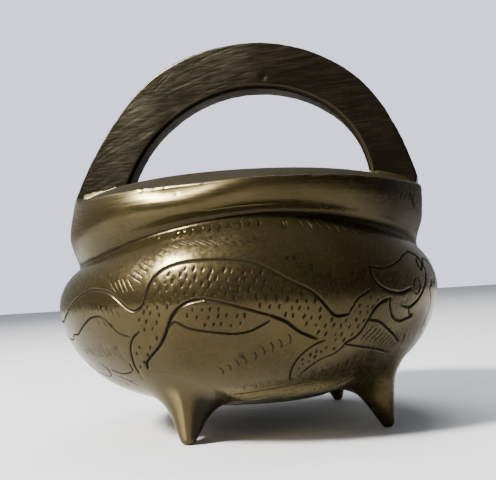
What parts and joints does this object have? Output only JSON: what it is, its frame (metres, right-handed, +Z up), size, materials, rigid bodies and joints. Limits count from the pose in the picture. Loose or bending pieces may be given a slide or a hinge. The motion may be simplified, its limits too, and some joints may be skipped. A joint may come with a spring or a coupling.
{
  "type": "incense burner",
  "caption": "Small engraved brass incense bowl on cone feet, with a banded collar and a stiff arch handle over its open mouth.",
  "frame": {"origin": "on the bowl's axis, at the height of the surface that the feet stand on", "axes": "+Z up along the bowl's axis, +X along the handle's plane towards its right leg, -Y the front with the dragon's head"},
  "size_m": [0.08, 0.08, 0.0814],
  "materials": {
    "bowl_brass": "aged olive-brown patina, hand engraved",
    "collar_brass": "aged patina, filed and turned",
    "handle_brass": "aged patina, coarse file marks",
    "foot_brass": "aged patina, faint turning lines",
    "base_brass": "dull cast plate",
    "solder": "ragged solder seam with verdigris",
    "braze": "bright braze fillet"
  },
  "bodies": {
    "root": {"bowl": "bowl_brass", "collar": "collar_brass", "handle": "handle_brass", "foot_front_right": "foot_brass", "foot_rear_right": "foot_brass", "foot_rear_left": "foot_brass", "foot_front_left": "foot_brass", "base_disc": "base_brass", "base_solder": "solder", "neck_braze": "braze", "handle_braze_right": "braze", "handle_braze_left": "braze"}
  },
  "joints": []
}
